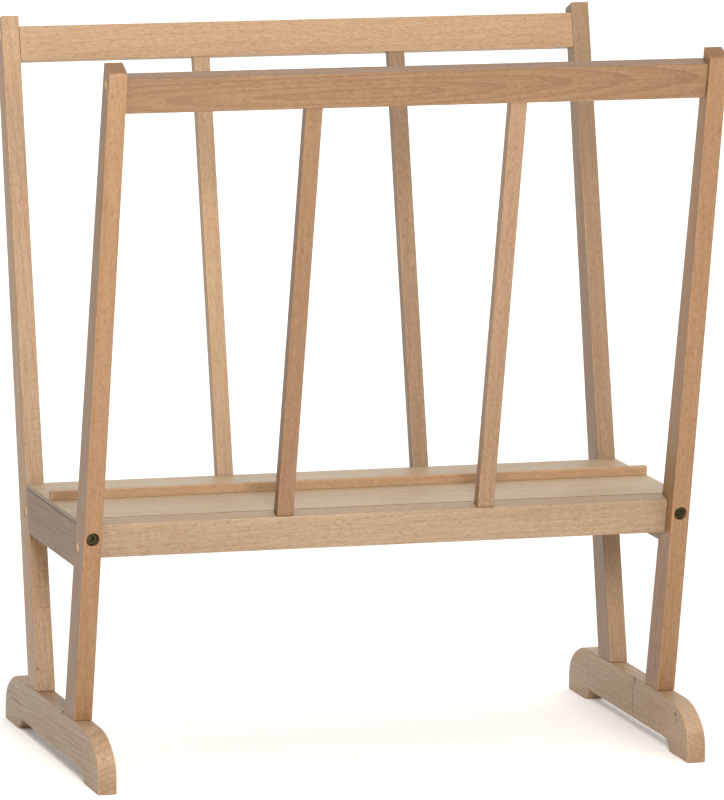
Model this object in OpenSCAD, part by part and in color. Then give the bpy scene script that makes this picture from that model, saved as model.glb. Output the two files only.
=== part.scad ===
// Magazine rack: two leaning frames stand back to back on a pair of feet,
// and a shallow tray held between them carries the magazines on edge.
// Frame of the part: origin on the floor at the middle of the rack,
// +X to the right, -Y to the front, +Z up. All sizes in millimetres.

/* [Overall] */
// Width over the outer faces of the feet
rack_w = 670; // [400:5:1000]
// Height of the highest leg corner above the floor
rack_h = 773; // [500:1:1100]

/* [Feet] */
// Length of each foot, front to back
foot_l = 416; // [330:1:600]
// Thickness of each foot, side to side
foot_t = 20; // [16:0.5:30]
// Height of each foot where the legs stand on it
foot_h = 58; // [48:1:80]
// Length of the pad at each end that rests on the floor
pad_l = 62; // [40:1:90]
// Height of the hollow under the foot between its pads
foot_relief = 12.5; // [4:0.5:16]
// Radius of the curve at each end of the hollow
cove_r = 20; // [16:1:40]
// Height of the upright part of the foot's end
foot_end_z = 16; // [4:1:26]
// Radius of the tighter curve above that
foot_end_r = 30; // [8:1:32]
// Length of the whole curve, from the end of the foot to its level top
foot_end_l = 66; // [50:1:90]

/* [Legs] */
// Thickness of each leg, side to side
leg_t = 20; // [16:0.5:30]
// Depth of each leg where it meets the foot, measured level
leg_base_d = 43; // [36:1:60]
// Depth of each leg at its top, measured square to it
leg_top_d = 24; // [20:1:40]
// Fall of each leg's top from its inner edge to its outer one, measured along the leg
leg_top_fall = 4; // [0:0.5:8]
// Radius of the outer corner at the top of each leg
leg_corner_r = 4.5; // [2:0.5:10]
// Lean of each frame from upright (degrees)
lean = 13.2; // [8:0.1:18]
// Gap between the front and back legs at the top of the foot
base_gap = 119; // [80:1:160]

/* [Rails and slats] */
// Height of the top rails and tray rails, measured along the lean
rail_h = 38; // [30:1:60]
// Thickness of the top rails and tray rails
rail_t = 20; // [16:0.5:28]
// Distance from the leg tops down to the top rails
rail_drop = 12; // [4:1:40]
// Width of each upright slat
slat_w = 18; // [10:0.5:40]
// Thickness of each upright slat
slat_t = 14; // [6:0.5:15]
// Distance between the middles of the two slats in a frame
slat_pitch = 222; // [80:1:320]
// Length of slat held inside each rail
slat_seat = 12; // [6:0.5:14]

/* [Tray] */
// Height of the tray board's upper face above the floor
tray_z = 277.5; // [200:0.5:400]
// Thickness of the tray board
tray_t = 5; // [3:0.5:9]
// Gap between each long edge of the tray board and the frames
board_gap = 0.3; // [0.1:0.1:2]
// Height of the side rails under the ends of the board
side_h = 48; // [40:1:70]
// Height of the batten along the middle of the board
batten_h = 10; // [5:0.5:30]
// Thickness of the batten, front to back
batten_t = 7; // [4:0.5:20]
// Distance of the batten behind the middle of the board
batten_back = 4; // [-20:0.5:20]

/* [Through dowels] */
// Diameter of the dowels that join the rails to the legs
dowel_d = 12; // [8:0.5:12.5]
// Length of each through dowel inside the rail
dowel_in = 30; // [15:1:50]
// Distance from the rail's near edge to the dowel's middle
dowel_edge = 9; // [8:0.5:14]
// Depth of each dowel's end below the leg's outer face
dowel_recess = 1; // [0.2:0.1:3]

/* [Connector bolts] */
// Diameter of the bolt shank
bolt_d = 8; // [5:0.5:8.5]
// Diameter of the bolt head
bolt_head_d = 13; // [10:0.5:14]
// Height of the bolt head
bolt_head_h = 8; // [4:0.5:9]
// Width across the flats of the socket in the bolt head
socket_af = 6; // [3:0.5:7]
// Depth of the socket in the bolt head
socket_d = 4.5; // [2:0.5:6]
// Depth of the bolt head below the leg's outer face
bolt_sink = 7.5; // [2:0.5:12]
// Distance of the bolt below the top of the side rail
bolt_drop = 12.5; // [12:0.5:13]
// Clearance around the bolt in its holes, each side
bolt_gap = 0.25; // [0.1:0.05:0.6]
// Clearance around the bolt head in its recess, each side
head_gap = 0.5; // [0.2:0.1:1]
// Clearance between the bolt and the cross hole of the nut, each side
thread_gap = 0.05; // [0.02:0.01:0.2]
// Diameter of the barrel nut
nut_d = 12; // [10:0.5:14]
// Length of the barrel nut
nut_l = 14; // [10:0.5:15]
// Distance of the nut's middle from the end of the side rail
nut_in = 32; // [22:1:45]
// Width and depth of the screwdriver slot in the nut
slot_w = 1.6; // [0.8:0.1:2.4]
// Length of bolt that passes the nut's middle
bolt_past = 9; // [7:0.5:16]

/* [Hidden dowels and screws] */
// Diameter of the locating dowels of the side rails and feet
pin_d = 8; // [6:0.5:8.5]
// Length of each locating dowel of a side rail
pin_l = 30; // [16:1:40]
// Height of the side rail's locating dowel above its lower edge
pin_up = 8; // [7:0.5:10]
// Length of each dowel between a foot and a leg
foot_pin_l = 40; // [20:1:56]
// Distance of the foot dowel from the leg's inner edge
foot_pin_in = 14; // [12:0.5:16]
// Diameter of the screw between a foot and a leg
screw_d = 5; // [3:0.5:6]
// Length of that screw over its head
screw_l = 60; // [45:1:80]
// Distance of the screw from the leg's inner edge
screw_in = 30; // [27:0.5:32]
// Diameter of the screw head
screw_head_d = 10; // [7:0.5:11]
// Height of the screw head
screw_head_h = 4; // [2:0.5:6]
// Depth of the recess for the screw head above the foot's hollow
screw_sink = 18; // [8:1:24]
// Diameter of the panel pins
nail_d = 1.6; // [1:0.1:2.4]
// Length of the panel pins between the board and the side rails
nail_l = 20; // [12:1:25]
// Length of the panel pins between the board and the batten
nail_short_l = 12; // [8:0.5:13]
// Diameter of a panel pin's head
nail_head_d = 3.2; // [2:0.1:4]
// Height of a panel pin's head
nail_head_h = 0.8; // [0.4:0.1:1.2]
// Distance between the two pins in each side rail
nail_pitch = 80; // [40:1:110]
// Number of pins that hold the batten
batten_nails = 5; // [2:1:9]
// Distance of the batten's outermost pins from its ends
batten_nail_end = 35; // [10:1:80]
// Room for glue around dowels and slat ends, each side
glue_gap = 0.05; // [0.02:0.01:0.2]
// Space left past the end of a blind hole's fitting
hole_spare = 1; // [0.5:0.1:2]

/* [Part] */
// Piece to draw

/* [Hidden] */
$fn = 64;

wood = [0.80, 0.62, 0.45];
ply = [0.78, 0.69, 0.58];
end_grain = [0.72, 0.54, 0.38];
steel = [0.60, 0.60, 0.60];
brass = [0.55, 0.45, 0.25];

half_w = rack_w / 2;
// How far cutters pass the faces they cut
cut_over = 1;
// How far the recess of a bolt head is cut out past the leg
recess_over = 22;
// How many times its radius the wedge of a rounded corner reaches
wedge_reach = 1.5;
// Sides of the socket in a bolt head
hex_sides = 6;
// Facets of the foot's wide curve, where $fn is used
fine_fn = 128;

// Along the lean, measured from the top of the foot at the legs' inner edge
leg_len = (rack_h - foot_h) / cos(lean);
tray_up = (tray_z - foot_h) / cos(lean);
top_rail_up = leg_len - rail_drop - rail_h;
tray_rail_up = tray_up - rail_h;
dowel_ups = [top_rail_up + rail_h - dowel_edge, tray_rail_up + dowel_edge];

leg_base = [-leg_base_d * cos(lean), leg_base_d * sin(lean)];
leg_top = [-leg_top_d, leg_len - leg_top_fall];
leg_slope = atan2(leg_top_fall, leg_top_d);
leg_taper = atan2(leg_top.x - leg_base.x, leg_top.y - leg_base.y);

// Side rails, as thick as the legs, and their fittings
side_t = leg_t;
side_z1 = tray_z - tray_t;
side_z0 = side_z1 - side_h;
bolt_z = side_z1 - bolt_drop;
pin_z = side_z0 + pin_up;
bolt_x = -half_w + leg_t / 2;
foot_x = -half_w + min(leg_t, foot_t) / 2;

// Distance of the frames' inner and outer faces from the middle, at height z
function inner_y(z) = base_gap / 2 + (z - foot_h) * tan(lean);
function outer_y(z) = base_gap / 2 + leg_base_d + (z - foot_h) * tan(lean - leg_taper);

bolt_grip = outer_y(bolt_z) - inner_y(bolt_z) - bolt_sink - bolt_head_h;

// The foot's end is a tight curve that runs into a wide one, level at the top
foot_wide_r = ((foot_end_l - foot_end_r) * (foot_end_l - foot_end_r)
        + (foot_h - foot_end_z) * (foot_h - foot_end_z) - foot_end_r * foot_end_r)
    / (2 * (foot_h - foot_end_z - foot_end_r));
tight_c = [foot_l / 2 - foot_end_r, foot_end_z];
wide_c = [foot_l / 2 - foot_end_l, foot_h - foot_wide_r];
meet = tight_c + foot_end_r * (tight_c - wide_c) / (foot_wide_r - foot_end_r);
cove_y = foot_l / 2 - pad_l - sqrt(cove_r * cove_r - (cove_r - foot_relief) * (cove_r - foot_relief));

// Draws its children in the front frame: Y = 0 is the legs' inner face,
// -Y points outwards and Z runs up the lean from the top of the foot
module leaning() {
    translate([0, -base_gap / 2, foot_h])
        rotate([lean, 0, 0])
            children();
}

// Children are drawn for the front left corner and mirrored to the others
module corner(back, right) {
    mirror([0, back, 0])
        mirror([right, 0, 0])
            children();
}

module each_corner() {
    for (back = [0, 1])
        for (right = [0, 1])
            corner(back, right)
                children();
}

// Extrudes a front-to-back outline by t towards +X, starting at x
module upright(x, t) {
    translate([x, 0, 0])
        rotate([90, 0, 90])
            linear_extrude(height = t)
                children();
}

// Cylinder along +X whose near end is centred on p
module rod_x(p, l, d) {
    translate(p)
        rotate([0, 90, 0])
            cylinder(h = l, d = d);
}

// Cylinder along +Y whose near end is centred on p
module rod_y(p, l, d) {
    translate(p)
        rotate([-90, 0, 0])
            cylinder(h = l, d = d);
}

// Through dowels of one corner, or their holes when room is above zero
module corner_dowels(start, room, spare) {
    leaning()
        for (up = dowel_ups)
            rod_x([-half_w + start, -rail_t / 2, up],
                leg_t + dowel_in - start + spare, dowel_d + 2 * room);
}

// Hole for the bolt's shank, its end a little past the bolt's own
module bolt_hole() {
    rod_y([bolt_x, -inner_y(bolt_z) - bolt_grip - cut_over, bolt_z],
        bolt_grip + cut_over + nut_in + bolt_past + hole_spare, bolt_d + 2 * bolt_gap);
}

module bolt_head_recess() {
    seat = -inner_y(bolt_z) - bolt_grip;
    rod_y([bolt_x, seat - bolt_head_h - recess_over, bolt_z],
        bolt_head_h + recess_over, bolt_head_d + 2 * head_gap);
}

module side_pin(room, spare) {
    rod_y([bolt_x, -inner_y(pin_z) - pin_l / 2 - spare, pin_z],
        pin_l + 2 * spare, pin_d + 2 * room);
}

module foot_pin(room, spare) {
    translate([foot_x, -base_gap / 2 - foot_pin_in, foot_h - foot_pin_l / 2 - spare])
        cylinder(h = foot_pin_l + 2 * spare, d = pin_d + 2 * room);
}

// Screw shank from the head's bearing face upwards
module screw_shank(room, spare) {
    translate([foot_x, -base_gap / 2 - screw_in, foot_relief + screw_sink - cut_over])
        cylinder(h = screw_l - screw_head_h + cut_over + spare, d = screw_d + 2 * room);
}

module screw_recess() {
    translate([foot_x, -base_gap / 2 - screw_in, -cut_over])
        cylinder(h = foot_relief + screw_sink + cut_over, d = screw_head_d + 2 * head_gap);
}

// Front half of the foot's side view
module foot_half() {
    polygon([
        [0, 0], [foot_l / 2, 0], [foot_l / 2, foot_end_z],
        meet, [wide_c.x, foot_h], [0, foot_h]
    ]);
    intersection() {
        union() {
            translate(tight_c)
                circle(r = foot_end_r);
            intersection() {
                translate(wide_c)
                    circle(r = foot_wide_r, $fn = fine_fn);
                polygon([
                    wide_c, wide_c + wedge_reach * (meet - wide_c),
                    wide_c + [0, wedge_reach * foot_wide_r]
                ]);
            }
        }
        square([foot_l / 2, foot_h]);
    }
}

module foot_outline() {
    difference() {
        union() {
            foot_half();
            mirror([1, 0])
                foot_half();
        }
        translate([-cove_y, -cut_over])
            square([2 * cove_y, foot_relief + cut_over]);
        for (side = [-1, 1])
            translate([side * cove_y, foot_relief - cove_r])
                circle(r = cove_r);
    }
}

module foot() {
    color(wood)
        difference() {
            upright(-half_w, foot_t)
                foot_outline();
            for (back = [0, 1])
                corner(back, 0) {
                    foot_pin(glue_gap, hole_spare);
                    screw_shank(glue_gap, 0);
                    screw_recess();
                }
        }
}

// Tapered leg outline, its top falling outwards to a rounded corner
module leg_outline() {
    down = [sin(leg_slope), -cos(leg_slope)];
    inward = [cos(leg_taper), -sin(leg_taper)];
    middle = leg_top + leg_corner_r * (down + inward) / (1 + sin(leg_slope + leg_taper));
    reach = wedge_reach * leg_corner_r;
    difference() {
        polygon([[0, 0], [0, leg_len], leg_top, leg_base]);
        difference() {
            polygon([middle, middle - reach * down, middle - reach * (down + inward), middle - reach * inward]);
            translate(middle)
                circle(r = leg_corner_r);
        }
    }
}

module leg() {
    color(wood)
        difference() {
            leaning()
                upright(-half_w, leg_t)
                    leg_outline();
            corner_dowels(-cut_over, glue_gap, 0);
            bolt_hole();
            bolt_head_recess();
            side_pin(glue_gap, hole_spare);
            foot_pin(glue_gap, hole_spare);
            screw_shank(glue_gap, hole_spare);
        }
}

// Slats of the front frame, or their holes when room is above zero
module slat(side, room, spare) {
    leaning()
        translate([
            side * slat_pitch / 2 - slat_w / 2 - room,
            -rail_t / 2 - slat_t / 2 - room,
            tray_up - slat_seat - spare
        ])
            cube([
                slat_w + 2 * room,
                slat_t + 2 * room,
                top_rail_up - tray_up + 2 * slat_seat + 2 * spare
            ]);
}

module rail(up) {
    color(wood)
        difference() {
            leaning()
                translate([-half_w + leg_t, -rail_t, up])
                    cube([rack_w - 2 * leg_t, rail_t, rail_h]);
            for (right = [0, 1])
                corner(0, right)
                    corner_dowels(-cut_over, glue_gap, hole_spare);
            for (side = [-1, 1])
                slat(side, glue_gap, hole_spare);
        }
}

module nail_row(z, x, ys, l, room, flip) {
    for (y = ys)
        translate([x, y, z])
            mirror([0, 0, flip]) {
                translate([0, 0, -nail_head_h])
                    cylinder(h = nail_head_h, d = nail_head_d + 2 * room);
                translate([0, 0, -l])
                    cylinder(h = l, d = nail_d + 2 * room);
            }
}

// Panel pins of the left side rail, or their holes when room is above zero
module board_nails(room) {
    nail_row(tray_z, bolt_x, [-nail_pitch / 2, nail_pitch / 2], nail_l, room, 0);
}

// Panel pins of the batten, driven from under the board
module batten_nail_set(room) {
    reach = half_w - batten_nail_end;
    for (i = [0 : batten_nails - 1])
        nail_row(side_z1, -reach + 2 * reach * i / (batten_nails - 1), [batten_back], nail_short_l, room, 1);
}

module side_rail() {
    color(wood)
        difference() {
            upright(-half_w, side_t)
                polygon([
                    [-inner_y(side_z0), side_z0], [inner_y(side_z0), side_z0],
                    [inner_y(side_z1), side_z1], [-inner_y(side_z1), side_z1]
                ]);
            for (back = [0, 1])
                corner(back, 0) {
                    bolt_hole();
                    side_pin(glue_gap, hole_spare);
                    nut_bore();
                }
            board_nails(glue_gap);
        }
}

// Bore for the barrel nut, open towards the middle of the rack
module nut_bore() {
    rod_x([bolt_x - nut_l / 2, -inner_y(bolt_z) + nut_in, bolt_z],
        side_t + nut_l, nut_d + 2 * bolt_gap);
}

module tray_board() {
    board_y = inner_y(side_z1) - board_gap;
    color(ply)
        difference() {
            translate([-half_w, -board_y, side_z1])
                cube([rack_w, 2 * board_y, tray_t]);
            for (right = [0, 1])
                corner(0, right)
                    board_nails(glue_gap);
            batten_nail_set(glue_gap);
        }
}

module batten() {
    color(wood)
        difference() {
            translate([-half_w, batten_back - batten_t / 2, tray_z])
                cube([rack_w, batten_t, batten_h]);
            batten_nail_set(glue_gap);
        }
}

module through_dowels() {
    color(end_grain)
        each_corner()
            corner_dowels(dowel_recess, 0, 0);
}

module connector_bolts() {
    seat = -inner_y(bolt_z) - bolt_grip;
    color(brass)
        each_corner()
            difference() {
                union() {
                    rod_y([bolt_x, seat - bolt_head_h, bolt_z], bolt_head_h, bolt_head_d);
                    rod_y([bolt_x, seat - bolt_head_h / 2, bolt_z],
                        bolt_head_h / 2 + bolt_grip + nut_in + bolt_past, bolt_d);
                }
                translate([bolt_x, seat - bolt_head_h - cut_over, bolt_z])
                    rotate([-90, 0, 0])
                        cylinder(h = socket_d + cut_over, d = socket_af / cos(180 / hex_sides), $fn = hex_sides);
            }
}

module barrel_nuts() {
    nut_y = -inner_y(bolt_z) + nut_in;
    color(steel)
        each_corner()
            difference() {
                rod_x([bolt_x - nut_l / 2, nut_y, bolt_z], nut_l, nut_d);
                rod_y([bolt_x, nut_y - nut_d, bolt_z], 2 * nut_d, bolt_d + 2 * thread_gap);
                translate([bolt_x + nut_l / 2 - slot_w, nut_y - nut_d, bolt_z - slot_w / 2])
                    cube([slot_w + cut_over, 2 * nut_d, slot_w]);
            }
}

module side_dowels() {
    color(end_grain)
        each_corner()
            side_pin(0, 0);
}

module foot_dowels() {
    color(end_grain)
        each_corner()
            foot_pin(0, 0);
}

module foot_screws() {
    seat = foot_relief + screw_sink;
    color(steel)
        each_corner() {
            translate([foot_x, -base_gap / 2 - screw_in, seat - screw_head_h])
                cylinder(h = screw_head_h, d = screw_head_d);
            translate([foot_x, -base_gap / 2 - screw_in, seat - cut_over])
                cylinder(h = screw_l - screw_head_h + cut_over, d = screw_d);
        }
}

module board_pins() {
    color(steel)
        for (right = [0, 1])
            corner(0, right)
                board_nails(0);
}

module batten_pins() {
    color(steel)
        batten_nail_set(0);
}

foot();  // foot_left
corner(0, 1) foot();  // foot_right
leg();  // leg_front_left
corner(0, 1) leg();  // leg_front_right
corner(1, 0) leg();  // leg_back_left
corner(1, 1) leg();  // leg_back_right
rail(top_rail_up);  // top_rail_front
corner(1, 0) rail(top_rail_up);  // top_rail_back
rail(tray_rail_up);  // tray_rail_front
corner(1, 0) rail(tray_rail_up);  // tray_rail_back
side_rail();  // side_rail_left
corner(0, 1) side_rail();  // side_rail_right
color(wood) slat(-1, 0, 0);  // slat_front_left
color(wood) slat(1, 0, 0);  // slat_front_right
color(wood) corner(1, 0) slat(-1, 0, 0);  // slat_back_left
color(wood) corner(1, 0) slat(1, 0, 0);  // slat_back_right
tray_board();
batten();
through_dowels();
connector_bolts();
barrel_nuts();
side_dowels();
foot_dowels();
foot_screws();
board_pins();
batten_pins();
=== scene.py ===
import math

import bmesh
import bpy
from mathutils import Matrix, Vector


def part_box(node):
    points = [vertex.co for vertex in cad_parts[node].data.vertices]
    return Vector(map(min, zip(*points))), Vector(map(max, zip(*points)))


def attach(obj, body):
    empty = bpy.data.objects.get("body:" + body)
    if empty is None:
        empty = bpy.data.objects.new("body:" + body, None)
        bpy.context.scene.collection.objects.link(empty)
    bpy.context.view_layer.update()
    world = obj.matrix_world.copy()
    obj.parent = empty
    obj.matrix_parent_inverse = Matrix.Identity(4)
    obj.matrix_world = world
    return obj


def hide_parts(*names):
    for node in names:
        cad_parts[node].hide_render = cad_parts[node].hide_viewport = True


MM = 0.001

# Camera: angles in degrees, distances in metres
CAMERA_AZIMUTH = -16.3
CAMERA_ELEVATION = 9.2
CAMERA_ROLL = 0.4
CAMERA_DISTANCE = 7.9
CAMERA_AIM = (0.010, 0.0, 0.373)
CAMERA_LENS = 330.0
SENSOR_WIDTH = 36.0

# Light
WORLD_STRENGTH = 0.9
KEY_PLACE = (-0.36, -2.1, 1.10)
KEY_AIM = (0.0, 0.0, 0.38)
KEY_SIZE = 0.75
KEY_POWER = 52.0
KEY_COLOUR = (1.0, 0.97, 0.93)
# The room is darker to the rack's left and brighter overhead
WORLD_LEFT = (0.38, 0.38, 0.38)
WORLD_TOP = (1.9, 1.85, 1.75)
# Lamp behind the rack that lights the far floor
BACKDROP_PLACE = (0.0, 6.0, 4.0)
BACKDROP_AIM = (0.0, 5.9, 0.0)
BACKDROP_SIZE = 7.0
BACKDROP_POWER = 75.0
FLOOR_SIZE = 60.0

# Shape of the pieces
LEAN = math.radians(13.2)
ARRIS = 1.3 * MM
SLAT_ARRIS = 1.0 * MM
PINNED_ARRIS = 0.6 * MM
PLY_ARRIS = 0.35 * MM
DOWEL_ARRIS = 0.4 * MM
METAL_ARRIS = 0.4 * MM
NUT_ARRIS = METAL_ARRIS / 2
PIN_ARRIS = METAL_ARRIS / 4
ARRIS_STEPS = 3
WELD = 0.002 * MM
FLAT_ANGLE = math.radians(0.6)
ARRIS_ANGLE = math.radians(32)
SHARP_ANGLE = math.radians(42)
# Mark on the eased faces. The wood lightens them, partly as rubbed wear and partly as a painted highlight
# on the arrises; the metal lightens them as wear.
WORN_AND_HIGHLIT = "worn_and_highlit_edge"
# First word of a wooden piece's name: its easing, where it isn't ARRIS
EASINGS = {"slat": SLAT_ARRIS, "side": PINNED_ARRIS, "batten": PINNED_ARRIS}

UP_FRONT = (0.0, -math.sin(LEAN), math.cos(LEAN))
UP_BACK = (0.0, math.sin(LEAN), math.cos(LEAN))
ALONG_X = (1.0, 0.0, 0.0)
ALONG_Y = (0.0, 1.0, 0.0)
ALONG_Z = (0.0, 0.0, 1.0)

# Tones of the boards, as display colours
PALE_BEECH = (0.62, 0.51, 0.39)
GREY_BEECH = (0.61, 0.52, 0.42)
STRAW_BEECH = (0.55, 0.47, 0.38)
PLAIN_BEECH = (0.53, 0.43, 0.33)
RED_BEECH = (0.52, 0.40, 0.28)
BROWN_BEECH = (0.48, 0.37, 0.26)

# Each wooden piece: grain direction, tone, seed of its pattern, the pith's place
# beside the board in metres, and its tilt. The last two set how the rings run
WOOD_PIECES = {
    "foot_left": (ALONG_Y, GREY_BEECH, 1.0, (0.030, 0.055), 0.10),
    "foot_right": (ALONG_Y, GREY_BEECH, 2.3, (0.020, -0.060), -0.07),
    "leg_front_left": (UP_FRONT, RED_BEECH, 3.1, (0.045, 0.030), 0.03),
    "leg_front_right": (UP_FRONT, RED_BEECH, 4.7, (-0.040, 0.035), -0.04),
    "leg_back_left": (UP_BACK, PALE_BEECH, 5.2, (0.012, 0.020), 0.05),
    "leg_back_right": (UP_BACK, PLAIN_BEECH, 6.9, (-0.050, -0.020), 0.03),
    "top_rail_front": (ALONG_X, BROWN_BEECH, 7.4, (0.016, 0.004), 0.07),
    "top_rail_back": (ALONG_X, PALE_BEECH, 8.8, (0.050, 0.020), -0.03),
    "tray_rail_front": (ALONG_X, STRAW_BEECH, 9.5, (0.070, -0.030), 0.02),
    "tray_rail_back": (ALONG_X, STRAW_BEECH, 10.6, (-0.060, 0.040), 0.03),
    "side_rail_left": (ALONG_Y, BROWN_BEECH, 11.9, (0.060, 0.035), 0.04),
    "side_rail_right": (ALONG_Y, PLAIN_BEECH, 12.2, (0.050, -0.045), 0.04),
    "slat_front_left": (UP_FRONT, BROWN_BEECH, 13.7, (0.030, 0.040), 0.03),
    "slat_front_right": (UP_FRONT, PLAIN_BEECH, 14.3, (-0.030, 0.050), 0.02),
    "slat_back_left": (UP_BACK, PALE_BEECH, 15.1, (0.050, -0.030), 0.03),
    "slat_back_right": (UP_BACK, PLAIN_BEECH, 16.6, (-0.045, 0.030), 0.04),
    "batten": (ALONG_X, PALE_BEECH, 17.8, (0.030, 0.060), 0.01),
}

# Marks on the wood, in millimetres from the low corner of the piece's box:
# centre, half sizes, colour and depth of the tint
KNOT = (0.20, 0.10, 0.05)
INK = (0.10, 0.17, 0.27)
# Dark tint for a pore in the left foot, and for a painted shadow in the gap under the tray board
PORE_AND_GAP_SHADE = (0.05, 0.03, 0.02)
MARKS = {
    "foot_left": [
        ((7.5, 3.5, 37.0), (4.2, 5.0, 2.4), KNOT, 0.62),
        ((0.5, 158.0, 57.5), (2.8, 2.6, 2.5), PORE_AND_GAP_SHADE, 1.0),
        ((0.0, 358.0, 29.0), (3.0, 26.0, 1.2), KNOT, 0.60),
    ],
    "foot_right": [
        ((0.0, 188.0, 34.0), (2.0, 1.1, 23.0), INK, 0.75),
        ((0.0, 182.0, 56.0), (2.0, 3.0, 3.5), INK, 0.80),
        ((0.0, 346.0, 30.0), (2.0, 0.9, 19.0), INK, 0.40),
        ((0.0, 43.0, 45.0), (2.0, 3.4, 2.2), INK, 0.90),
        ((0.0, 39.0, 38.0), (2.0, 3.0, 5.0), INK, 0.35),
    ],
    # Painted shadow: a long dark stroke along the top edge of the left side rail, where the gap under the
    # tray board is in shade
    "side_rail_left": [((0.0, 110.0, 47.5), (2.0, 125.0, 0.9), PORE_AND_GAP_SHADE, 0.75)],
    "leg_front_right": [((0.0, 153.0, 28.0), (2.0, 1.1, 7.0), INK, 0.70)],
    "leg_back_left": [
        ((2.0, 5.6, 24.0), (1.4, 3.0, 1.4), KNOT, 0.60),
        ((13.0, 16.5, 67.0), (5.0, 4.0, 0.9), KNOT, 0.24),
        ((13.0, 21.0, 88.0), (4.2, 4.0, 0.9), KNOT, 0.24),
        ((9.0, 25.5, 110.0), (4.5, 4.0, 0.8), KNOT, 0.24),
        ((14.0, 29.5, 127.0), (4.0, 4.0, 0.9), KNOT, 0.24),
        ((11.0, 35.5, 150.0), (3.5, 4.0, 0.8), KNOT, 0.24),
        ((13.0, 64.5, 277.0), (5.0, 4.0, 0.9), KNOT, 0.24),
        ((12.0, 67.5, 287.0), (4.2, 4.0, 0.9), KNOT, 0.24),
        ((14.0, 70.5, 298.0), (4.6, 4.0, 0.9), KNOT, 0.24),
    ],
}

# Strength of the growth rings
RING_DEPTH = 0.22
RING_DEPTHS = {
    "top_rail_front": 0.60,
    "leg_back_left": 0.35,
    "top_rail_back": 0.15,
    "foot_left": 0.50,
    "foot_right": 0.30,
}

PLY_TONE = (0.63, 0.56, 0.46)
DOWEL_TONE = (0.82, 0.69, 0.51)
BRASS_TONE = (0.27, 0.25, 0.17)
STEEL_TONE = (0.66, 0.66, 0.65)


def linear(colour):
    """Display colour to the linear values that shaders take."""
    return tuple(c / 12.92 if c <= 0.04045 else ((c + 0.055) / 1.055) ** 2.4 for c in colour)


# ---------------------------------------------------------------- node helpers

def add_node(tree, kind, values=None, **settings):
    """Adds a node. values maps an input's name or number to a constant or to the socket that feeds it."""
    made = tree.nodes.new(kind)
    for key, value in settings.items():
        setattr(made, key, value)
    for key, value in (values or {}).items():
        if isinstance(value, bpy.types.NodeSocket):
            tree.links.new(value, made.inputs[key])
        else:
            made.inputs[key].default_value = value
    return made


def calc(tree, operation, first, second=0.0, clamp=False):
    made = add_node(tree, "ShaderNodeMath", {0: first, 1: second}, operation=operation)
    made.use_clamp = clamp
    return made.outputs[0]


def vector_calc(tree, operation, first, second, out="Vector"):
    made = add_node(tree, "ShaderNodeVectorMath", {0: first, 1: second}, operation=operation)
    return made.outputs[out]


def ramp(tree, value, low, high, to_low=0.0, to_high=1.0):
    values = {"Value": value, "From Min": low, "From Max": high, "To Min": to_low, "To Max": to_high}
    made = add_node(tree, "ShaderNodeMapRange", values, interpolation_type="SMOOTHSTEP")
    return made.outputs["Result"]


def mix(tree, factor, first, second, blend="MIX"):
    made = tree.nodes.new("ShaderNodeMix")
    made.data_type = "RGBA"
    made.blend_type = blend
    for key, value in (("Factor", factor), ("A", first), ("B", second)):
        kind = "VALUE" if key == "Factor" else "RGBA"
        socket = next(s for s in made.inputs if s.name == key and s.type == kind)
        if isinstance(value, bpy.types.NodeSocket):
            tree.links.new(value, socket)
        elif kind == "RGBA":
            socket.default_value = (*value, 1.0)
        else:
            socket.default_value = value
    return next(s for s in made.outputs if s.type == "RGBA")


def noise(tree, place, scale, detail=2.0, roughness=0.5, out="Fac"):
    """Noise whose scale differs along the three axes."""
    stretched = vector_calc(tree, "MULTIPLY", place, scale)
    values = {"Vector": stretched, "Scale": 1.0, "Detail": detail, "Roughness": roughness}
    return add_node(tree, "ShaderNodeTexNoise", values).outputs[out]


def new_group(name, inputs, outputs):
    tree = bpy.data.node_groups.new(name, "ShaderNodeTree")
    for label, kind, default in inputs:
        socket = tree.interface.new_socket(label, in_out="INPUT", socket_type=kind)
        if default is not None:
            socket.default_value = default
    for label, kind in outputs:
        tree.interface.new_socket(label, in_out="OUTPUT", socket_type=kind)
    return tree, tree.nodes.new("NodeGroupInput").outputs, tree.nodes.new("NodeGroupOutput").inputs


def place_group(tree, group, values):
    made = tree.nodes.new("ShaderNodeGroup")
    made.node_tree = group
    for key, value in values.items():
        if isinstance(value, bpy.types.NodeSocket):
            tree.links.new(value, made.inputs[key])
        elif made.inputs[key].type == "RGBA":
            made.inputs[key].default_value = (*value, 1.0)
        else:
            made.inputs[key].default_value = value
    return made.outputs


# --------------------------------------------------------------- shader groups

# Figure of the wood. Each scale is in cycles per metre, along and across the grain
RING_GAP = 5.5 * MM
RING_WANDER = (0.0, 0.016, 0.016)
WANDER_SCALE = (2.6, 9.0, 9.0)
UNEVEN_SCALE = (1.5, 22.0, 22.0)
UNEVEN_RINGS = 1.6
LATE_WOOD_POWER = 2.6
LATE_WOOD_END = 0.93
BROAD_SCALE = (1.9, 16.0, 16.0)
FIBRE_SCALE = (13.0, 520.0, 520.0)
FLECK_SCALE = (200.0, 640.0, 640.0)
MOTTLE_SCALE = (150.0, 420.0, 420.0)
SEED_STEP = (0.37, 0.21, 0.53)

# Tints that multiply a board's tone, and how far each pattern darkens it
DARK_GRAIN = (0.76, 0.66, 0.55)
LIGHT_GRAIN = (1.12, 1.13, 1.15)
FLECK_TINT = (0.62, 0.40, 0.26)
END_TINT = (0.78, 0.72, 0.66)
# Lightens the eased edges: partly sanding wear, partly a painted highlight on the arrises
RUBBED_AND_HIGHLIGHT_TINT = (1.16, 1.15, 1.13)
BROAD_WEIGHT = 0.30
FIBRE_WEIGHT = 0.20
MOTTLE_WEIGHT = 0.42
FLECK_WEIGHT = 0.42
WOOD_ROUGHNESS = 0.42

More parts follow.
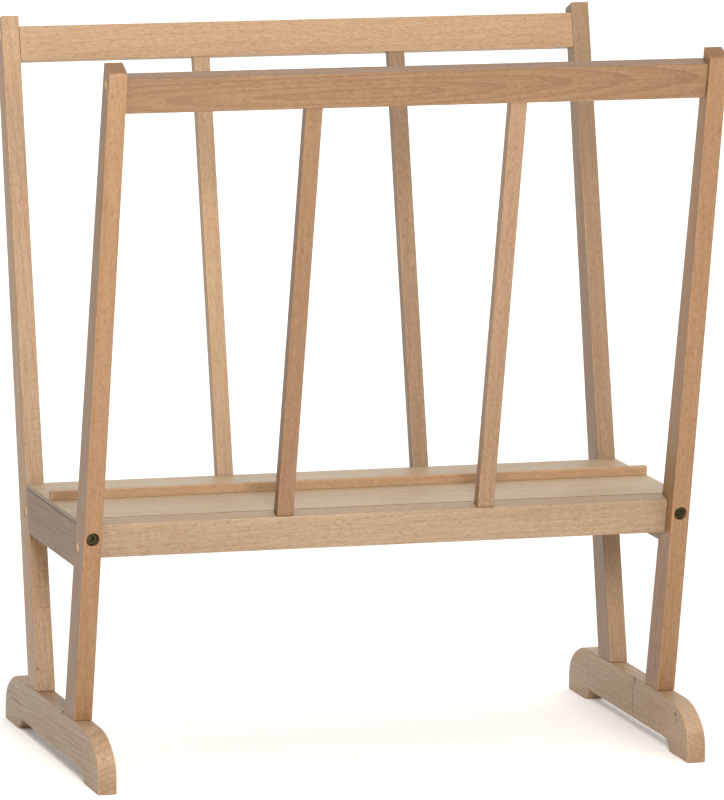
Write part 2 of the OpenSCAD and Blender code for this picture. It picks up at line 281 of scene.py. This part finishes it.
# Plywood edges
RIM_TINT = (0.86, 0.82, 0.76)
DARK_PLY_TINT = (0.34, 0.29, 0.25)
GLUE_LINE = (0.34, 0.25, 0.19)
GLUE_WEIGHT = 0.6
PLY_LAYERS = 5
PLY_SEED = 21.0
PLY_PITH = (0.0, 0.02, 0.19)
PLY_TILT = 0.05
PLY_RINGS = 0.12

# Metal
TARNISH_SCALE = (240.0, 240.0, 240.0)
SCRATCH_SCALE = (300.0, 2600.0, 2600.0)
DULL_TINT = (0.55, 0.50, 0.42)
BRIGHT_TINT = (1.35, 1.33, 1.28)
METAL_ROUGHNESS = 0.28

WEAR_SCALE = (30.0, 60.0, 60.0)
MARK_SCALE = (900.0, 900.0, 900.0)
DOWEL_PITH = (0.004, 0.006)
DOWEL_SEED = 30.0
WHITE = (1.0, 1.0, 1.0)


def make_figure_group():
    """Beech figure along local X: growth rings round a pith beside the board, fibres and ray flecks."""
    tree, given, out = new_group(
        "beech_figure",
        [("Place", "NodeSocketVector", None), ("Seed", "NodeSocketFloat", 0.0),
         ("Pith", "NodeSocketVector", None), ("Tilt", "NodeSocketFloat", 0.03)],
        [("Rings", "NodeSocketFloat"), ("Broad", "NodeSocketFloat"), ("Fibre", "NodeSocketFloat"),
         ("Flecks", "NodeSocketFloat"), ("Mottle", "NodeSocketFloat"), ("Height", "NodeSocketFloat")])
    shift = vector_calc(tree, "SCALE", SEED_STEP, (0.0, 0.0, 0.0))
    tree.links.new(given["Seed"], shift.node.inputs["Scale"])
    place = vector_calc(tree, "ADD", given["Place"], shift)
    wander = noise(tree, place, WANDER_SCALE, 2.0, 0.5, "Color")
    wander = vector_calc(tree, "SUBTRACT", wander, (0.5, 0.5, 0.5))
    wander = vector_calc(tree, "MULTIPLY", wander, RING_WANDER)
    ring_place = vector_calc(tree, "ADD", vector_calc(tree, "ADD", given["Place"], given["Pith"]), wander)
    parts = add_node(tree, "ShaderNodeSeparateXYZ", {0: ring_place}).outputs
    across = calc(tree, "ADD", parts["Y"], calc(tree, "MULTIPLY", parts["X"], given["Tilt"]))
    flat = add_node(tree, "ShaderNodeCombineXYZ", {"Y": across, "Z": parts["Z"]}).outputs[0]
    radius = vector_calc(tree, "LENGTH", flat, (0.0, 0.0, 0.0), "Value")
    uneven = calc(tree, "MULTIPLY", noise(tree, place, UNEVEN_SCALE, 1.0), UNEVEN_RINGS)
    phase = calc(tree, "FRACT", calc(tree, "ADD", calc(tree, "DIVIDE", radius, RING_GAP), uneven))
    late = calc(tree, "POWER", phase, LATE_WOOD_POWER)
    fall = ramp(tree, phase, LATE_WOOD_END, 1.0, 1.0, 0.0)
    rings = calc(tree, "MULTIPLY", late, fall)
    broad = ramp(tree, noise(tree, place, BROAD_SCALE, 3.0, 0.55), 0.32, 0.68)
    fibre = ramp(tree, noise(tree, place, FIBRE_SCALE, 4.0, 0.62), 0.33, 0.67)
    flecks = ramp(tree, noise(tree, place, FLECK_SCALE, 1.0, 0.4), 0.57, 0.70)
    mottle = ramp(tree, noise(tree, place, MOTTLE_SCALE, 3.0, 0.65), 0.30, 0.70)
    height = calc(tree, "SUBTRACT", calc(tree, "MULTIPLY", fibre, 0.7), calc(tree, "MULTIPLY", flecks, 0.5))
    for label, socket in (("Rings", rings), ("Broad", broad), ("Fibre", fibre),
                          ("Flecks", flecks), ("Mottle", mottle), ("Height", height)):
        tree.links.new(socket, out[label])
    return tree


def make_wood_colour_group():
    """Turns the figure into colour and roughness, with darker end grain and lighter edges: partly rubbed
    wear, partly a painted highlight on the eased arrises.
    """
    tree, given, out = new_group(
        "wood_colour",
        [("Tone", "NodeSocketColor", None), ("Rings", "NodeSocketFloat", 0.0),
         ("Broad", "NodeSocketFloat", 0.5), ("Fibre", "NodeSocketFloat", 0.5),
         ("Flecks", "NodeSocketFloat", 0.0), ("Mottle", "NodeSocketFloat", 0.5),
         ("End", "NodeSocketFloat", 0.0), ("Edge", "NodeSocketFloat", 0.0),
         ("Ring depth", "NodeSocketFloat", 0.25)],
        [("Color", "NodeSocketColor"), ("Roughness", "NodeSocketFloat")])
    dark = mix(tree, 1.0, given["Tone"], DARK_GRAIN, "MULTIPLY")
    light = mix(tree, 1.0, given["Tone"], LIGHT_GRAIN, "MULTIPLY")
    weight = calc(tree, "MULTIPLY", given["Rings"], given["Ring depth"])
    weight = calc(tree, "ADD", weight, calc(tree, "MULTIPLY", given["Broad"], BROAD_WEIGHT))
    weight = calc(tree, "ADD", weight, calc(tree, "MULTIPLY", given["Fibre"], FIBRE_WEIGHT))
    weight = calc(tree, "ADD", weight, calc(tree, "MULTIPLY", given["Mottle"], MOTTLE_WEIGHT), True)
    colour = mix(tree, weight, light, dark)
    reddish = mix(tree, 1.0, given["Tone"], FLECK_TINT, "MULTIPLY")
    colour = mix(tree, calc(tree, "MULTIPLY", given["Flecks"], FLECK_WEIGHT), colour, reddish)
    ends = mix(tree, 1.0, colour, END_TINT, "MULTIPLY")
    colour = mix(tree, given["End"], colour, ends)
    # Lighter eased edges: partly rubbed wear, partly a painted highlight
    rubbed_and_highlit = mix(tree, 1.0, colour, RUBBED_AND_HIGHLIGHT_TINT, "MULTIPLY")
    colour = mix(tree, given["Edge"], colour, rubbed_and_highlit)
    rough = calc(tree, "ADD", WOOD_ROUGHNESS, calc(tree, "MULTIPLY", given["Fibre"], 0.10))
    rough = calc(tree, "ADD", rough, calc(tree, "MULTIPLY", given["End"], 0.18))
    rough = calc(tree, "SUBTRACT", rough, calc(tree, "MULTIPLY", given["Edge"], 0.06))
    tree.links.new(colour, out["Color"])
    tree.links.new(rough, out["Roughness"])
    return tree


def make_wear_and_highlight_group():
    """Broken mask along the eased edges, from the mark that the edges carry. On the wood it places both
    rubbed wear and a painted edge highlight.
    """
    tree, given, out = new_group(
        "edge_wear_and_highlight",
        [("Edge", "NodeSocketFloat", 0.0), ("Place", "NodeSocketVector", None),
         ("Least", "NodeSocketFloat", 0.35)],
        [("Mask", "NodeSocketFloat")])
    patches = ramp(tree, noise(tree, given["Place"], WEAR_SCALE, 3.0, 0.6), 0.35, 0.62)
    kept = calc(tree, "MAXIMUM", patches, given["Least"])
    tree.links.new(calc(tree, "MULTIPLY", kept, given["Edge"], True), out["Mask"])
    return tree


def make_mark_group():
    """Soft spot or stroke: one inside an ellipsoid, with a slightly ragged rim."""
    tree, given, out = new_group(
        "surface_mark",
        [("Place", "NodeSocketVector", None), ("Centre", "NodeSocketVector", None),
         ("Half size", "NodeSocketVector", None)],
        [("Mask", "NodeSocketFloat")])
    offset = vector_calc(tree, "SUBTRACT", given["Place"], given["Centre"])
    offset = vector_calc(tree, "DIVIDE", offset, given["Half size"])
    reach = vector_calc(tree, "LENGTH", offset, (0.0, 0.0, 0.0), "Value")
    ragged = calc(tree, "MULTIPLY", noise(tree, given["Place"], MARK_SCALE, 2.0), 0.5)
    tree.links.new(ramp(tree, calc(tree, "ADD", reach, ragged), 1.05, 1.5, 1.0, 0.0), out["Mask"])
    return tree


def make_end_group():
    """One where a face looks along the grain."""
    tree, given, out = new_group(
        "end_grain",
        [("Normal", "NodeSocketVector", None), ("Depth", "NodeSocketFloat", 1.0)],
        [("Mask", "NodeSocketFloat")])
    along = add_node(tree, "ShaderNodeSeparateXYZ", {0: given["Normal"]}).outputs["X"]
    mask = ramp(tree, calc(tree, "ABSOLUTE", along), 0.72, 0.93)
    tree.links.new(calc(tree, "MULTIPLY", mask, given["Depth"]), out["Mask"])
    return tree


def make_ply_group():
    """Veneer layers on the edges of a sheet lying in local X and Y."""
    tree, given, out = new_group(
        "ply_layers",
        [("Place", "NodeSocketVector", None), ("Normal", "NodeSocketVector", None),
         ("Layer", "NodeSocketFloat", 1.0)],
        [("Rim", "NodeSocketFloat"), ("Dark layer", "NodeSocketFloat"), ("Glue", "NodeSocketFloat")])
    facing = add_node(tree, "ShaderNodeSeparateXYZ", {0: given["Normal"]}).outputs["Z"]
    rim = ramp(tree, calc(tree, "ABSOLUTE", facing), 0.35, 0.65, 1.0, 0.0)
    high = add_node(tree, "ShaderNodeSeparateXYZ", {0: given["Place"]}).outputs["Z"]
    wave = calc(tree, "ADD", calc(tree, "DIVIDE", high, given["Layer"]), 0.5)
    layer = calc(tree, "PINGPONG", wave, 1.0)
    tree.links.new(rim, out["Rim"])
    tree.links.new(calc(tree, "MULTIPLY", rim, ramp(tree, layer, 0.42, 0.58)), out["Dark layer"])
    glue = ramp(tree, calc(tree, "ABSOLUTE", calc(tree, "SUBTRACT", layer, 0.5)), 0.02, 0.12, 1.0, 0.0)
    tree.links.new(calc(tree, "MULTIPLY", rim, glue), out["Glue"])
    return tree


def make_metal_group():
    """Tarnish, fine scratches and rubbed edges of small metal parts."""
    tree, given, out = new_group(
        "metal_surface",
        [("Tone", "NodeSocketColor", None), ("Place", "NodeSocketVector", None),
         ("Edge", "NodeSocketFloat", 0.0)],
        [("Color", "NodeSocketColor"), ("Roughness", "NodeSocketFloat"), ("Height", "NodeSocketFloat")])
    tarnish = ramp(tree, noise(tree, given["Place"], TARNISH_SCALE, 4.0, 0.65), 0.35, 0.7)
    scratch = ramp(tree, noise(tree, given["Place"], SCRATCH_SCALE, 2.0, 0.5), 0.45, 0.75)
    dull = mix(tree, 1.0, given["Tone"], DULL_TINT, "MULTIPLY")
    colour = mix(tree, calc(tree, "MULTIPLY", tarnish, 0.7), given["Tone"], dull)
    bright = mix(tree, 1.0, given["Tone"], BRIGHT_TINT, "MULTIPLY")
    colour = mix(tree, calc(tree, "MULTIPLY", given["Edge"], 0.7), colour, bright)
    rough = calc(tree, "ADD", METAL_ROUGHNESS, calc(tree, "MULTIPLY", tarnish, 0.22))
    tree.links.new(colour, out["Color"])
    tree.links.new(calc(tree, "ADD", rough, calc(tree, "MULTIPLY", scratch, 0.08)), out["Roughness"])
    tree.links.new(scratch, out["Height"])
    return tree


GROUPS = {}


def make_groups():
    GROUPS["figure"] = make_figure_group()
    GROUPS["wood"] = make_wood_colour_group()
    GROUPS["wear"] = make_wear_and_highlight_group()
    GROUPS["mark"] = make_mark_group()
    GROUPS["end"] = make_end_group()
    GROUPS["ply"] = make_ply_group()
    GROUPS["metal"] = make_metal_group()


# ------------------------------------------------------------------- materials

def start_material(name, turn):
    """A material with its shader, and the place and normal of its patterns in the grain's frame."""
    material = bpy.data.materials.new(name)
    material.use_nodes = True
    tree = material.node_tree
    shader = tree.nodes["Principled BSDF"]
    coords = add_node(tree, "ShaderNodeTexCoord").outputs
    angles = turn.to_euler("XYZ")
    values = {"Vector": coords["Object"], "Location": turn.translation, "Rotation": angles}
    place = add_node(tree, "ShaderNodeMapping", values, vector_type="POINT").outputs[0]
    values = {"Vector": coords["Normal"], "Rotation": angles}
    normal = add_node(tree, "ShaderNodeMapping", values, vector_type="VECTOR").outputs[0]
    worn_and_highlit = add_node(tree, "ShaderNodeAttribute", attribute_name=WORN_AND_HIGHLIT).outputs["Fac"]
    edge = place_group(tree, GROUPS["wear"], {"Edge": worn_and_highlit, "Place": place})["Mask"]
    return material, tree, shader, coords["Object"], place, normal, edge


def bump(tree, shader, height, distance, strength):
    made = add_node(tree, "ShaderNodeBump", {"Height": height, "Distance": distance, "Strength": strength})
    tree.links.new(made.outputs["Normal"], shader.inputs["Normal"])


def paint_marks(tree, place, colour, node):
    """Tints the marks of a piece. place is in the row frame."""
    low = Vector(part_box(node)[0])
    for centre, half, tint, depth in MARKS.get(node, ()):
        values = {"Place": place, "Centre": low + Vector(centre) * MM, "Half size": Vector(half) * MM}
        mask = place_group(tree, GROUPS["mark"], values)["Mask"]
        colour = mix(tree, calc(tree, "MULTIPLY", mask, depth), colour, linear(tint))
    return colour


def wood_material(node, along, tone, seed, pith, tilt, dark_ends=1.0):
    """Planed beech, with its grain along the given direction. pith and tilt set how the rings run."""
    turn = grain_turn(node, along)
    material, tree, shader, row_place, place, normal, edge = start_material(node + "_wood", turn)
    depth = RING_DEPTHS.get(node, RING_DEPTH)
    figure = place_group(tree, GROUPS["figure"], {
        "Place": place, "Seed": seed, "Pith": (0.0, *pith), "Tilt": tilt})
    end = place_group(tree, GROUPS["end"], {"Normal": normal, "Depth": dark_ends})["Mask"]
    wood = place_group(tree, GROUPS["wood"], {
        "Tone": linear(tone), "Rings": figure["Rings"], "Broad": figure["Broad"],
        "Fibre": figure["Fibre"], "Flecks": figure["Flecks"], "Mottle": figure["Mottle"],
        "End": end, "Edge": edge, "Ring depth": depth})
    colour = paint_marks(tree, row_place, wood["Color"], node)
    tree.links.new(colour, shader.inputs["Base Color"])
    tree.links.new(wood["Roughness"], shader.inputs["Roughness"])
    shader.inputs["IOR"].default_value = 1.45
    bump(tree, shader, figure["Height"], 0.12 * MM, 0.35)
    return material


def ply_material(name, turn, thickness):
    material, tree, shader, _, place, normal, edge = start_material(name, turn)
    figure = place_group(tree, GROUPS["figure"], {
        "Place": place, "Seed": PLY_SEED, "Pith": PLY_PITH, "Tilt": PLY_TILT})
    layers = place_group(tree, GROUPS["ply"], {
        "Place": place, "Normal": normal, "Layer": thickness / PLY_LAYERS})
    wood = place_group(tree, GROUPS["wood"], {
        "Tone": linear(PLY_TONE), "Rings": figure["Rings"], "Broad": figure["Broad"],
        "Fibre": figure["Fibre"], "Flecks": figure["Flecks"], "Mottle": figure["Mottle"],
        "Edge": edge, "Ring depth": PLY_RINGS})
    edge_wood = mix(tree, 1.0, wood["Color"], RIM_TINT, "MULTIPLY")
    rim = mix(tree, layers["Rim"], wood["Color"], edge_wood)
    banded = mix(tree, 1.0, rim, DARK_PLY_TINT, "MULTIPLY")
    colour = mix(tree, layers["Dark layer"], rim, banded)
    colour = mix(tree, calc(tree, "MULTIPLY", layers["Glue"], GLUE_WEIGHT), colour, linear(GLUE_LINE))
    tree.links.new(colour, shader.inputs["Base Color"])
    tree.links.new(wood["Roughness"], shader.inputs["Roughness"])
    bump(tree, shader, figure["Height"], 0.10 * MM, 0.3)
    return material


def metal_material(name, tone):
    material, tree, shader, place, _, _, edge = start_material(name, Matrix.Identity(4))
    metal = place_group(tree, GROUPS["metal"], {"Tone": linear(tone), "Place": place, "Edge": edge})
    tree.links.new(metal["Color"], shader.inputs["Base Color"])
    tree.links.new(metal["Roughness"], shader.inputs["Roughness"])
    shader.inputs["Metallic"].default_value = 1.0
    bump(tree, shader, metal["Height"], 0.03 * MM, 0.3)
    return material


# ---------------------------------------------------------------------- pieces

def grain_turn(node, along):
    """Turns the row frame into the grain's: the piece's middle at the origin and X along the grain."""
    low, high = (Vector(corner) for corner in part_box(node))
    first = Vector(along).normalized()
    guide = Vector(ALONG_Z) if abs(first.z) < 0.5 else Vector(ALONG_X)
    second = guide.cross(first).normalized()
    third = first.cross(second)
    turn = Matrix((first, second, third)).transposed().to_4x4()
    return (Matrix.Translation((low + high) / 2) @ turn).inverted()


def clean_copy(node):
    """The node's mesh as flat faces without the triangles that model.glb stores."""
    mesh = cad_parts[node].data.copy()
    form = bmesh.new()
    form.from_mesh(mesh)
    bmesh.ops.remove_doubles(form, verts=form.verts, dist=WELD)
    bmesh.ops.dissolve_limit(form, angle_limit=FLAT_ANGLE, verts=form.verts, edges=form.edges)
    form.to_mesh(mesh)
    form.free()
    return mesh


def ease_edges(piece, width):
    """Rounds every edge and marks the faces that this makes, so that materials can wear them; on the wood
    the mark also carries a painted highlight.
    """
    mesh = piece.data
    mesh.materials.clear()
    mesh.materials.append(None)
    mesh.materials.append(None)
    mesh.polygons.foreach_set("material_index", [0] * len(mesh.polygons))
    bevel = piece.modifiers.new("ease", "BEVEL")
    bevel.width = width
    bevel.segments = ARRIS_STEPS
    bevel.limit_method = "ANGLE"
    bevel.angle_limit = ARRIS_ANGLE
    bevel.use_clamp_overlap = False
    bevel.loop_slide = False
    bevel.material = 1
    bpy.context.view_layer.update()
    seen = piece.evaluated_get(bpy.context.evaluated_depsgraph_get())
    made = bpy.data.meshes.new_from_object(seen)
    piece.modifiers.clear()
    piece.data = made
    marks = made.attributes.new(WORN_AND_HIGHLIT, "FLOAT", "CORNER")
    for face in made.polygons:
        worn_and_highlit = 1.0 if face.material_index == 1 else 0.0
        for corner in face.loop_indices:
            marks.data[corner].value = worn_and_highlit
        face.material_index = 0
        face.use_smooth = True
    made.materials.clear()
    made.set_sharp_from_angle(angle=SHARP_ANGLE)


def shade_flat_faces(piece):
    """Keeps the broad faces flat beside the rounded edges."""
    weighted = piece.modifiers.new("flat faces", "WEIGHTED_NORMAL")
    weighted.mode = "FACE_AREA"
    weighted.weight = 100
    weighted.keep_sharp = True


def make_piece(node, easing):
    piece = bpy.data.objects.new(node + ".eased", clean_copy(node))
    bpy.context.collection.objects.link(piece)
    ease_edges(piece, easing)
    shade_flat_faces(piece)
    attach(piece, "root")
    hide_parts(node)
    return piece


def make_wooden_pieces():
    for node, (along, tone, seed, pith, tilt) in WOOD_PIECES.items():
        easing = EASINGS.get(node.split("_")[0], ARRIS)
        piece = make_piece(node, easing)
        piece.data.materials.append(wood_material(node, along, tone, seed, pith, tilt))


def make_board():
    piece = make_piece("tray_board", PLY_ARRIS)
    low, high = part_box("tray_board")
    turn = grain_turn("tray_board", ALONG_X)
    piece.data.materials.append(ply_material("tray_board_ply", turn, high[2] - low[2]))


def make_dowels():
    for number, (node, along) in enumerate((
            ("through_dowels", ALONG_X), ("side_dowels", ALONG_Y), ("foot_dowels", ALONG_Z))):
        piece = make_piece(node, DOWEL_ARRIS)
        seed = DOWEL_SEED + number
        material = wood_material(node, along, DOWEL_TONE, seed, DOWEL_PITH, 0.0, dark_ends=0.0)
        piece.data.materials.append(material)


def make_metal_pieces():
    brass = metal_material("bronzed_brass", BRASS_TONE)
    steel = metal_material("zinc_plate", STEEL_TONE)
    for node, easing, slot, material in (
            ("connector_bolts", METAL_ARRIS, "bolt_brass", brass),
            ("barrel_nuts", NUT_ARRIS, "nut_steel", steel),
            ("foot_screws", METAL_ARRIS, "nut_steel", steel),
            ("board_pins", PIN_ARRIS, "nut_steel", steel),
            ("batten_pins", PIN_ARRIS, "nut_steel", steel)):
        piece = make_piece(node, easing)
        piece.data.materials.append(material)


# ----------------------------------------------------------------------- stage

def look_frame(place, aim):
    back = (Vector(place) - Vector(aim)).normalized()
    right = Vector(ALONG_Z).cross(back).normalized()
    return Matrix((right, back.cross(right), back)).transposed()


def make_camera():
    azimuth = math.radians(CAMERA_AZIMUTH)
    elevation = math.radians(CAMERA_ELEVATION)
    back = Vector((
        math.sin(azimuth) * math.cos(elevation),
        -math.cos(azimuth) * math.cos(elevation),
        math.sin(elevation)))
    place = Vector(CAMERA_AIM) + back * CAMERA_DISTANCE
    turn = look_frame(place, CAMERA_AIM) @ Matrix.Rotation(math.radians(CAMERA_ROLL), 3, "Z")
    data = bpy.data.cameras.new("camera")
    data.sensor_width = SENSOR_WIDTH
    data.lens = CAMERA_LENS
    camera = bpy.data.objects.new("camera", data)
    camera.matrix_world = Matrix.Translation(place) @ turn.to_4x4()
    bpy.context.collection.objects.link(camera)
    bpy.context.scene.camera = camera


def add_lamp(name, place, aim, size, power, colour):
    data = bpy.data.lights.new(name, "AREA")
    data.shape = "DISK"
    data.size = size
    data.energy = power
    data.color = colour
    lamp = bpy.data.objects.new(name, data)
    lamp.matrix_world = Matrix.Translation(place) @ look_frame(place, aim).to_4x4()
    bpy.context.collection.objects.link(lamp)


def make_light():
    world = bpy.data.worlds.new("studio")
    bpy.context.scene.world = world
    world.use_nodes = True
    sky = world.node_tree.nodes["Background"]
    tree = world.node_tree
    coords = add_node(tree, "ShaderNodeTexCoord").outputs
    side = add_node(tree, "ShaderNodeSeparateXYZ", {0: coords["Generated"]}).outputs["X"]
    level = mix(tree, ramp(tree, side, -0.8, 0.3), WORLD_LEFT, WHITE)
    high = add_node(tree, "ShaderNodeSeparateXYZ", {0: coords["Generated"]}).outputs["Z"]
    tree.links.new(mix(tree, ramp(tree, high, 0.55, 0.95), level, WORLD_TOP), sky.inputs["Color"])
    sky.inputs["Strength"].default_value = WORLD_STRENGTH
    add_lamp("key", KEY_PLACE, KEY_AIM, KEY_SIZE, KEY_POWER, KEY_COLOUR)
    add_lamp("backdrop", BACKDROP_PLACE, BACKDROP_AIM, BACKDROP_SIZE, BACKDROP_POWER, WHITE)
    bpy.context.scene.view_settings.view_transform = "Standard"


def make_floor():
    form = bmesh.new()
    bmesh.ops.create_grid(form, x_segments=1, y_segments=1, size=FLOOR_SIZE / 2)
    mesh = bpy.data.meshes.new("floor")
    form.to_mesh(mesh)
    form.free()
    floor = bpy.data.objects.new("floor", mesh)
    bpy.context.collection.objects.link(floor)
    material = bpy.data.materials.new("floor_paint")
    material.use_nodes = True
    tree = material.node_tree
    shader = tree.nodes["Principled BSDF"]
    coords = add_node(tree, "ShaderNodeTexCoord").outputs
    cloud = noise(tree, coords["Object"], (0.8, 0.8, 0.8), 2.0)
    tree.links.new(mix(tree, cloud, (0.93, 0.93, 0.93), (0.96, 0.96, 0.96)), shader.inputs["Base Color"])
    shader.inputs["Roughness"].default_value = 0.9
    shader.inputs["Specular IOR Level"].default_value = 0.1
    mesh.materials.append(material)


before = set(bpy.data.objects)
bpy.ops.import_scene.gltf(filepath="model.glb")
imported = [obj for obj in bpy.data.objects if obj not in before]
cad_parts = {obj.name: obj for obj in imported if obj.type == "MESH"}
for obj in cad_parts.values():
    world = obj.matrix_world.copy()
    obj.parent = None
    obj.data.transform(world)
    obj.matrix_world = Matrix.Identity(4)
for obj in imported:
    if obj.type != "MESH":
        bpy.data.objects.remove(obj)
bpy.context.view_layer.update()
make_camera()
make_light()
make_floor()
make_groups()
make_wooden_pieces()
make_board()
make_dowels()
make_metal_pieces()
